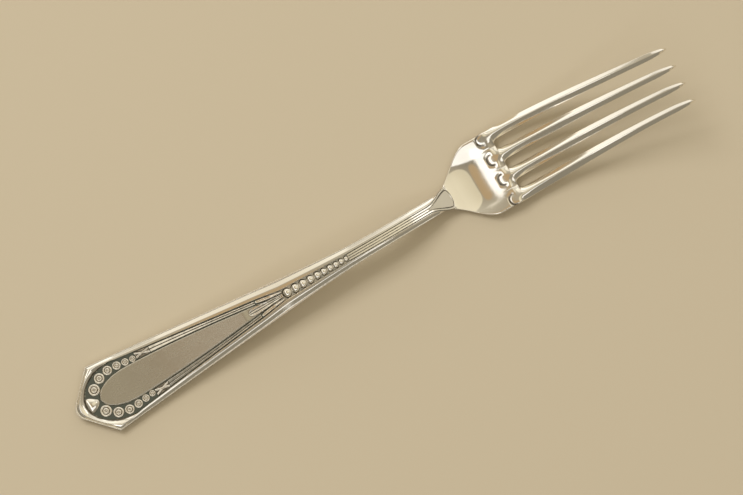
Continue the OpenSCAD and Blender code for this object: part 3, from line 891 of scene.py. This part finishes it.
def ribbon_skin():
    x = stations(x_ribbon, x_ribbon + RIBBON_LENGTH, RIBBON_SLICE)[:, None]
    share = np.linspace(1, 0, RIBBON_POINTS)[None]
    t = (x - x_ribbon) / RIBBON_LENGTH
    rising = strand(share, mix(RIBBON_STRAND, 1 - RIBBON_STRAND, t))
    falling = strand(share, mix(1 - RIBBON_STRAND, RIBBON_STRAND, t))
    inside = (share > 0) & (share < 1)
    lift = np.where(inside, RIBBON_PAD + (REED_HEIGHT - RIBBON_PAD) * np.maximum(rising, falling), 0)
    y = band_y(x, share)
    # Painted shade: the low pad between the strands is darker than the strands.
    darkening = np.clip(RIBBON_SHADE - lift / REED_HEIGHT, *RIBBON_SHADE_RANGE)
    return swept(points_at(x, y, top_z(x, y) + lift), darkening)


make_pair("ribbon", [ribbon_skin()])

# %% Reeds
REED_SHARES = (0.25, 0.75)
REED_GAP = 0.16
REED_EDGE = 0.14
REED_FOOT = 0.2
REED_FALL = 0.5
REED_STAIN = 0.36
reed_x = stations(x_ribbon + RIBBON_LENGTH + GAP, x_side_petal - GAP)
reed_half = (band_y(reed_x, 1) - band_y(reed_x, 0) - REED_GAP) / 4


def sloped(x, across, inset):
    """Lets a reed fall outwards, from the panel's side to the border's."""
    return -REED_FALL * REED_HEIGHT * (1 + across) / 2


def reed_stain(x, inset):
    """The same light oxide all over a reed."""
    return REED_STAIN


make_pair("reeds", [mound(reed_x, band_y(reed_x, share), reed_half, REED_HEIGHT, REED_EDGE, REED_FOOT,
                          sloped, reed_stain) for share in REED_SHARES])

# %% [markdown]
# ## Bellflower
# Three petals spring from the collar at the first bead: one in the middle, and one along each side that
# ends in a round lobe. Rims and ribs could be left to bump, but they are wide enough to catch the light,
# so they are in the mesh. The panel runs on between the side petals and tucks under the middle one, so it
# is made here, where their edges are known.

# %% Petal curves
MIDDLE_HALF = 1.12
MIDDLE_NOSE = 0.18
PETAL_WAIST = 0.5
PETAL_SHOULDER = 0.3
PETAL_BLUNT = 0.01
PETAL_LOBE = 0.85
PETAL_CURL = 1.5
LOBE_REACH = 0.6


def middle_edge(x):
    t = (x - x_middle_petal) / (x_collar - x_middle_petal)
    waist = mix(1, PETAL_WAIST, np.maximum(0, (t - PETAL_SHOULDER) / (1 - PETAL_SHOULDER)))
    nose = np.clip(1 - (t + PETAL_BLUNT) / MIDDLE_NOSE, 0, 1)
    return MIDDLE_HALF * arc(nose) * waist


def side_outer(x):
    return inner_half(x) - GAP


def side_inner(x):
    t = smooth(PETAL_CURL * (x - x_side_petal) / (x_collar - x_side_petal))
    return mix(side_outer(x) - PETAL_LOBE, middle_edge(x) + GAP, t)


def lobe_share(x):
    """Share of a side petal's width at its round end."""
    return arc(np.clip(1 - (x - x_side_petal + PETAL_BLUNT) / LOBE_REACH, 0, 1))


print("petals from", round(x_side_petal, 1), "and", round(x_middle_petal, 1), "to", round(x_collar, 1))

# %% Plain panel
PANEL_HEIGHT = 0.6
PANEL_ROUND = 0.4
PANEL_FOOT = 0.15
PANEL_STEP = 0.6
PANEL_STOP = 1.5
PANEL_TUCK = 0.25
PANEL_SLICE = 0.2
NOSE_START = math.radians(6)
NOSE_RINGS = 40


def panel_half(x):
    """The panel's edge, which steps out to the side petals where the reeds end."""
    return mix(panel_edge(x), side_inner(x) - GAP, ramp(x, x_side_petal - GAP, x_side_petal + PANEL_STEP))


def tucked(x, across, inset):
    """Lets the panel sink under the bellflower."""
    return -PANEL_TUCK * ramp(x, x_middle_petal - PANEL_STOP, x_middle_petal + PANEL_STEP)


nose_x = x_nose - PANEL_NOSE * np.cos(np.linspace(NOSE_START, math.pi / 2, NOSE_RINGS))
panel_x = np.concatenate([nose_x, stations(x_nose, x_collar - PANEL_STOP, PANEL_SLICE)[1:]])
panel = mound(panel_x, 0.0, panel_half(panel_x), PANEL_HEIGHT, PANEL_ROUND, PANEL_FOOT, tucked)
make_piece("centre_panel", [panel], "satin_silver")

# %% Petals
PETAL_HEIGHT = 0.75
PETAL_RINGS = 81
# How far up a petal the darkening at its foot reaches: painted shade and tarnished silver.
PETAL_FOOT = 0.81
SIDE_FOOT = 0.7
MIDDLE_ROUND = 0.32
PETAL_ROUND = 0.14
RIM = 0.19
RIM_DEPTH = 0.18
RIB_DEPTH = 0.06
RIBS = 3.5


def ribbed(x, across, inset):
    """A raised rim round the petal and fine ribs inside it."""
    inside = smooth((inset - RIM) / RIM)
    return inside * (RIB_DEPTH * np.cos(across * RIBS * math.pi) - RIM_DEPTH)


petal_x = eased(x_middle_petal, x_collar, PETAL_RINGS)
petal = mound(petal_x, 0.0, middle_edge(petal_x), PETAL_HEIGHT, MIDDLE_ROUND, PETAL_FOOT, ribbed)
make_piece("middle_petal", [petal])
side_x = eased(x_side_petal, x_collar, PETAL_RINGS)
petal_mid = (side_outer(side_x) + side_inner(side_x)) / 2
petal_half = (side_outer(side_x) - side_inner(side_x)) / 2 * lobe_share(side_x)
side = mound(side_x, petal_mid, petal_half, PETAL_HEIGHT, PETAL_ROUND, SIDE_FOOT, ribbed)
make_pair("side_petal", [side])

# %% [markdown]
# ## Beads along the stem
# Ten beads, each smaller than the one before, fill the channel along the stem. Whole spheres would stand
# too high, so each bead is a low cap of a ball. It is spun like a rosette and a little wider across the
# fork, and only its foot is dark, with painted shade and tarnished silver.

# %% Beads
BEADS = 10
BEAD_RATIO = 0.58
BEAD_SHARE = 0.48
BEAD_GAP = 0.02
BEAD_SPREAD = 1.14
BEAD_DARK_FALLOFF = 10.0
BEAD_RINGS = 14


def bead_row():
    first = (x_bar - x_collar) / (BEADS * (1 + BEAD_RATIO))
    radii = first * np.linspace(1, BEAD_RATIO, BEADS)
    centres = x_collar + np.cumsum(2 * radii) - radii
    skins = []
    for x, radius in zip(centres, radii - BEAD_GAP):
        rise = BEAD_SHARE * radius
        ball = (radius ** 2 + rise ** 2) / (2 * rise)
        reach = math.asin(radius / ball)
        a = np.linspace(reach, reach / BEAD_RINGS, BEAD_RINGS)
        section = np.stack([ball * np.sin(a), ball * np.cos(a) - ball + rise], -1) / radius
        # Dark at the bead's foot: painted shade and tarnished silver.
        foot = np.clip(1 - section[:, 1] / BEAD_SHARE * BEAD_DARK_FALLOFF, 0, 1)
        skins.append(turned(section, foot, radius, (x, 0.0), BEAD_SPREAD))
    return skins


make_piece("stem_beads", bead_row())

# %% [markdown]
# ## Neck
# Past the last bead the channel holds a tongue between two thin reeds. They fan out with the shoulders,
# and the tongue sinks into the palm and ends in a round tip with a painted shadow line round it. All
# three are mounds, because they only change width and height along the fork.

# %% Neck tongue
REED_GROOVE = 0.08
FAN_REED = 0.5
NECK_ROUND = 0.12
TONGUE_REACH = 0.9
TONGUE_SINK = 0.36
TONGUE_SHADOW_WIDTH = 0.5
TONGUE_FOOT = 0.12
TONGUE_ARC = (math.radians(3), math.radians(86))
TONGUE_RINGS = 24


def neck_reed_width(x):
    return mix((2 * CHANNEL_HALF - 4 * REED_GROOVE) / 3, FAN_REED, ramp(x, x_fan, x_shoulder))


def tongue_edge(x):
    at = np.minimum(x, x_tongue)
    full = inner_half(at) - 2 * REED_GROOVE - neck_reed_width(at)
    return full * arc(np.maximum(0, x - x_tongue) / TONGUE_REACH)


def sinking(x, across, inset):
    """Lets the tongue sink as it spreads towards the palm."""
    return -TONGUE_SINK * np.clip((x - x_fan) / (x_shoulder - x_fan), 0, 1)


def tongue_shadow(x, inset):
    """A painted shadow: a dark line round the tongue's end."""
    return (1 - smooth(inset / TONGUE_SHADOW_WIDTH)) * ramp(x, x_fan, x_tongue)


tongue_tip = x_tongue + TONGUE_REACH * np.sin(np.linspace(*TONGUE_ARC, TONGUE_RINGS))
tongue_x = np.concatenate([stations(x_bar, x_tongue), tongue_tip])
tongue_half = tongue_edge(tongue_x)
tongue = mound(tongue_x, 0.0, tongue_half, REED_HEIGHT, NECK_ROUND, TONGUE_FOOT, sinking, tongue_shadow)
make_piece("neck_tongue", [tongue])

# %% Neck reeds
NECK_FOOT = 0.3
neck_x = stations(x_bar, x_shoulder)
neck_half = neck_reed_width(neck_x) / 2
neck_mid = inner_half(neck_x) - REED_GROOVE - neck_half
make_pair("neck_reed", [mound(neck_x, neck_mid, neck_half, REED_HEIGHT, NECK_ROUND, NECK_FOOT)])

# %% [markdown]
# ## Tines
# Each tine rises out of the palm as a rounded ridge, falls away on both flanks and tapers to a point. The
# valleys between the roots slope down into the slots. All four share their formulas and differ only in
# their place across the fork, and a slight bend to one side runs through them all.

# %% Tines in plan
TINES = 4
MIDDLE_INDEX = (TINES - 1) / 2
ROOT_PITCH = 5.9
TIP_PITCH = 5.05
TINE_WIDTH = 3.4
POINT_WIDTH = 2.0
POINT_LENGTH = 7.2
TIP_WIDTH = 0.4
POINT_POWER = 0.75
TINE_LEAN = 1.8
x_point = x_tip - POINT_LENGTH
x_valley = x_slot + VALLEY_LENGTH


def lean(x):
    return -TINE_LEAN * (np.maximum(0, x - x_slot) / (x_tip - x_slot)) ** 2


def pitch(x):
    return mix(ROOT_PITCH, TIP_PITCH, ramp(x, x_slot, x_tip))


def tine_half(x):
    body = mix(TINE_WIDTH, POINT_WIDTH, np.maximum(0, (x - x_slot) / (x_point - x_slot))) / 2
    point = np.clip(1 - (np.maximum(0, x - x_point) / POINT_LENGTH) ** 2, 0, 1) ** POINT_POWER
    return np.where(x < x_point, body, mix(TIP_WIDTH, POINT_WIDTH, point) / 2)


def slot_half(x):
    full = pitch(x) / 2 - tine_half(x)
    d = np.maximum(0, x - x_slot)
    return np.where(d < full, np.sqrt(np.maximum(0, full ** 2 - (full - d) ** 2)), full)


def flank_half(x, outer):
    if outer:
        root = half_width(x_root) - MIDDLE_INDEX * ROOT_PITCH
        return mix(root, tine_half(x), ramp(x, x_root, x_slot))
    return pitch(x) / 2 - slot_half(x)


print("slot at the valleys' end:", round(2 * float(slot_half(x_valley)), 2), "mm")

# %% Ridge and flanks
FLANK_SHARE = 0.55
SLOT_SHARE = 0.35
BEVEL_LENGTH = 1.8
NOSE_AT = 1.9
NOSE_RADIUS = 1.5
NOSE_GROOVE = 0.09
NOSE_BLEND = 0.32
NOSE_FADE = 1.0
NOSE_DARK_REFLECTION = 0.8
REFLECTION_RADIUS = 0.95
REFLECTION_WIDTH = 0.28


def flank_drop(x):
    root = SLOT_SHARE * ramp(x, x_slot - BEVEL_LENGTH, x_slot)
    body = mix(SLOT_SHARE, FLANK_SHARE, ramp(x, x_slot, x_valley))
    return thickness(x) * np.where(x < x_slot, root, body)


def roof(q, crest):
    """Fall of a flank from a rounded crest at q = 0 to its edge at q = 1."""
    return (np.sqrt(q * q + crest * crest) - crest) / (np.sqrt(1 + crest * crest) - crest)


def across_tine(mid, low_y, high_y, count):
    """Points across a tine that crowd towards its crest and its edges, and their share from the crest."""
    half = (1 + np.cos(np.linspace(0, math.pi, count))) / 2
    w = np.concatenate([half, -half[-2::-1]])[None]
    return np.where(w > 0, mid + w * (high_y - mid), mid + w * (mid - low_y)), np.abs(w)


def crescent(x, y, mid):
    """Depth of the groove round the nose of a tine's ridge, and a painted dark reflection in it."""
    nose = x_root + NOSE_AT
    r = np.hypot(x - nose, y - mid) / NOSE_RADIUS
    front = ramp(x, x_root, x_root + NOSE_BLEND) * (1 - ramp(x, nose - NOSE_BLEND, nose + NOSE_FADE))
    depth = NOSE_GROOVE * np.exp(-((r - 1) / NOSE_BLEND) ** 2) * front
    # The second value is a painted reflection: a dark crescent round the nose.
    return depth, NOSE_DARK_REFLECTION * np.exp(-((r - REFLECTION_RADIUS) / REFLECTION_WIDTH) ** 2) * front


# %% Tine skins
CREST = 0.12
CREST_AT_ROOT = 0.9
CREST_BLEND = 13.0
CREST_SHIFT = 0.22
CREST_RETURN = 1.3
FLANK_EDGE = 0.05
LEAST_SHARE = 0.3
TINE_EDGE_LIFT = 0.3
TINE_TOP = 21
TINE_BACK = 11


def tine_top(x, index, mid, low_y, high_y):
    """Upper points of a tine and their painted dark reflection."""
    past = ramp(x, x_root, x_valley)
    shift = CREST_SHIFT * (1 - CREST_RETURN * (x - x_root) / (x_tip - x_root)) * past
    line = mid + shift * (high_y - mid)
    y, q = across_tine(line, low_y, high_y, TINE_TOP)
    edge = np.where(y > line, high_y - y, y - low_y)
    own_edge = np.where(y > line, float(index == TINES - 1), float(index == 0))
    rounding = rounded_edge(edge, mix(PALM_EDGE, FLANK_EDGE, past)) * np.maximum(own_edge, past)
    groove, darkening = crescent(x, y, mid)
    crest = mix(CREST_AT_ROOT, CREST, ramp(x, x_root, x_slot + CREST_BLEND))
    z = top_z(x, y) - flank_drop(x) * roof(q, crest) - rounding - groove
    least = back_z(x) + sag(x, y) + LEAST_SHARE * thickness(x)
    return points_at(x, y, np.maximum(z, least)), darkening


def tine_back(x, mid, low_y, high_y):
    """Lower points of a tine, which start as the palm's back and turn into a rounded one of its own."""
    y, q = across_tine(mid, low_y, high_y, TINE_BACK)
    palm_q = np.maximum(0, (2 * np.abs(y) / PALM_WIDTH - PALM_FLAT) / (1 - PALM_FLAT))
    palm_lift = EDGE_LIFT * (1 - ramp(x, x_root, x_slot)) * palm_q ** 2
    own_lift = TINE_EDGE_LIFT * ramp(x, x_slot, x_valley) * q ** 2
    return points_at(x, y, back_z(x) + sag(x, y) + thickness(x) * (palm_lift + own_lift))


def tine_skin(places, index):
    x = places[:, None]
    mid = (index - MIDDLE_INDEX) * pitch(x) + lean(x)
    low_y = mid - flank_half(x, index == 0)
    high_y = mid + flank_half(x, index == TINES - 1)
    top, darkening = tine_top(x, index, mid, low_y, high_y)
    back = tine_back(x, mid, low_y, high_y)[:, ::-1]
    marks = np.concatenate([darkening, np.zeros(back.shape[:2])], 1)
    return swept(np.concatenate([top, back], 1), marks)


# %% Tines
ROOT_SLICE = 0.1
SLOT_SLICE = 0.08
SLOT_END = 2.0
TINE_SLICE = 0.4
POINT_STATIONS = 41
point_share = np.sin(np.linspace(0, math.pi / 2, POINT_STATIONS))
tine_x = np.concatenate([stations(x_root, x_slot, ROOT_SLICE),
                         stations(x_slot, x_slot + SLOT_END, SLOT_SLICE)[1:],
                         stations(x_slot + SLOT_END, x_point, TINE_SLICE)[1:],
                         x_point + POINT_LENGTH * point_share[1:]])
for number in range(1, TINES + 1):
    make_piece(f"tine_{number}", [tine_skin(tine_x, TINES - number)])

# %% [markdown]
# ## Table
# A pale, matt table carries the fork. It is one large sheet, because its edge should lie outside every
# view. It isn't part of the fork.

# %% Table
TABLE_SIZE = 4.0
TABLE_COLOUR = (0.58, 0.50, 0.37, 1)
TABLE_ROUGHNESS = 0.9
TABLE_SPECULAR = 0.1


def make_table():
    mesh = bpy.data.meshes.new("table")
    h = TABLE_SIZE / 2
    mesh.from_pydata([(-h, -h, 0), (h, -h, 0), (h, h, 0), (-h, h, 0)], [], [(0, 1, 2, 3)])
    table = bpy.data.objects.new("table", mesh)
    bpy.context.scene.collection.objects.link(table)
    material = bpy.data.materials.new("table")
    material.use_nodes = True
    shader = material.node_tree.nodes["Principled BSDF"]
    shader.inputs["Base Color"].default_value = TABLE_COLOUR
    shader.inputs["Roughness"].default_value = TABLE_ROUGHNESS
    shader.inputs["Specular IOR Level"].default_value = TABLE_SPECULAR
    mesh.materials.append(material)


make_table()
print("table:", TABLE_SIZE, "m")

# %% [markdown]
# ## Light
# Silver shows what stands about it, so it is lit as for a catalogue: soft boxes give the white bands, a
# cream one the palm's warm middle, and dim, warm surroundings the shade between. The surroundings grow
# brighter towards one side and hold a patch of amber overhead. One more box lights the table and draws
# the shadow. It is hidden from reflections, where it would be too bright.

# %% Soft boxes
WHITE = (1.0, 1.0, 1.0)
WARM_WHITE = (1.0, 0.96, 0.86)
CREAM = (1.0, 0.92, 0.66)


def soft_box(name, azimuth, off_zenith, width, height, radiance, colour=WHITE, shape="RECTANGLE",
             distance=1.6):
    """An area lamp aimed at the fork. Azimuth 0 is +X and 90 is +Y; radiance is how bright it looks."""
    a, e = math.radians(azimuth), math.radians(off_zenith)
    lamp = bpy.data.lights.new(name, "AREA")
    lamp.shape = shape
    lamp.size, lamp.size_y = width, height
    area = width * height * (math.pi / 4 if shape == "ELLIPSE" else 1)
    lamp.energy = radiance * area * math.pi
    lamp.color = colour
    holder = bpy.data.objects.new(name, lamp)
    direction = Vector((math.sin(e) * math.cos(a), math.sin(e) * math.sin(a), math.cos(e)))
    round_axis = Vector((-math.sin(a), math.cos(a), 0))
    axes = Matrix((round_axis, direction.cross(round_axis), direction)).transposed()
    holder.matrix_world = Matrix.Translation(direction * distance) @ axes.to_4x4()
    bpy.context.scene.collection.objects.link(holder)
    return holder


# %% Boxes round the fork
boxes = [
    soft_box("window_box", azimuth=88, off_zenith=77, width=2.4, height=0.7, radiance=0.45),
    soft_box("back_box", azimuth=182, off_zenith=28.5, width=2.1, height=0.32, radiance=1.05),
    soft_box("side_box", azimuth=258, off_zenith=29.5, width=1.3, height=0.38, radiance=0.85),
    soft_box("upper_box", azimuth=92, off_zenith=40, width=2.0, height=0.7, radiance=0.35,
             colour=WARM_WHITE),
    soft_box("tip_box", azimuth=0, off_zenith=35.5, width=0.74, height=0.1, radiance=1.2),
    soft_box("cream_card", azimuth=8, off_zenith=13.5, width=1.0, height=1.22, radiance=0.33, colour=CREAM,
             shape="ELLIPSE"),
    soft_box("table_box", azimuth=100, off_zenith=40, width=0.8, height=0.8, radiance=9.0, distance=2.0),
]
boxes[-1].visible_glossy = False
print("soft boxes:", len(boxes))

# %% Surroundings
BRIGHT_SIDE = (0.64, 0.77, 0.0)
SIDE_TONES = ((-0.45, (0.265, 0.24, 0.185, 1)), (0.0, (0.40, 0.35, 0.26, 1)),
              (0.4, (0.56, 0.51, 0.40, 1)), (0.95, (0.95, 0.91, 0.80, 1)))
AMBER = (0.48, 0.35, 0.20, 1)
AMBER_AT = (-0.28, 0.03, 0.0)
AMBER_SCALE = (1 / 0.12, 1 / 0.29, 0.0)
AMBER_CORE = 0.75


def make_world():
    """Dim on one side, brighter towards the other, with a patch of amber overhead."""
    world = bpy.data.worlds.new("studio")
    world.use_nodes = True
    bpy.context.scene.world = world
    tree = world.node_tree
    direction = add_node(tree, "ShaderNodeTexCoord").outputs["Generated"]
    aside = vector_node(tree, "DOT_PRODUCT", direction, BRIGHT_SIDE).outputs["Value"]
    tones = add_node(tree, "ShaderNodeValToRGB", {"Fac": rescale(tree, aside, -1.0, 1.0)})
    stops = tones.color_ramp.elements
    for _ in SIDE_TONES[2:]:
        stops.new(0.5)
    for stop, (at, tone) in zip(stops, SIDE_TONES):
        stop.position, stop.color = (at + 1) / 2, tone
    away = vector_node(tree, "SUBTRACT", direction, AMBER_AT).outputs[0]
    scaled = vector_node(tree, "MULTIPLY", away, AMBER_SCALE).outputs[0]
    reach = add_node(tree, "ShaderNodeVectorMath", {0: scaled}, operation="LENGTH").outputs["Value"]
    patch = rescale(tree, reach, 1.0, AMBER_CORE)
    background = tree.nodes["Background"]
    tree.links.new(mix_colour(tree, patch, tones.outputs["Color"], AMBER), background.inputs["Color"])
    background.inputs["Strength"].default_value = 1.0


make_world()
bpy.context.scene.view_settings.view_transform = "Standard"
print("surroundings:", len(SIDE_TONES), "tones and an amber patch")

# %% [markdown]
# ## Camera
# The camera looks almost straight down through a long lens, so the fork keeps its proportions from the
# handle to the tips. Its up direction is turned, because the fork lies aslant in the picture.

# %% Camera
IMAGE_WIDTH = 743
FOCAL_PIXELS = 4200
SENSOR = 36.0
CLIP_RANGE = (0.05, 20)
CAMERA_AT = Vector((0.0126, 0.0391, 1.1026))
LOOK_AT = Vector((-0.00149, -0.00096, 0.004))
IMAGE_UP_ANGLE = math.radians(30.15)


def make_camera():
    camera = bpy.data.objects.new("camera", bpy.data.cameras.new("camera"))
    camera.data.sensor_width = SENSOR
    camera.data.lens = FOCAL_PIXELS / IMAGE_WIDTH * SENSOR
    camera.data.clip_start, camera.data.clip_end = CLIP_RANGE
    forward = (LOOK_AT - CAMERA_AT).normalized()
    right = forward.cross(Vector((math.sin(IMAGE_UP_ANGLE), math.cos(IMAGE_UP_ANGLE), 0))).normalized()
    axes = Matrix((right, right.cross(forward), -forward)).transposed()
    camera.matrix_world = Matrix.Translation(CAMERA_AT) @ axes.to_4x4()
    bpy.context.scene.collection.objects.link(camera)
    bpy.context.scene.camera = camera
    return camera


print("lens:", round(make_camera().data.lens, 1), "mm")

# %% [markdown]
# ## Last update
# The view layer is brought up to date at the end.

# %% Last update
bpy.context.view_layer.update()
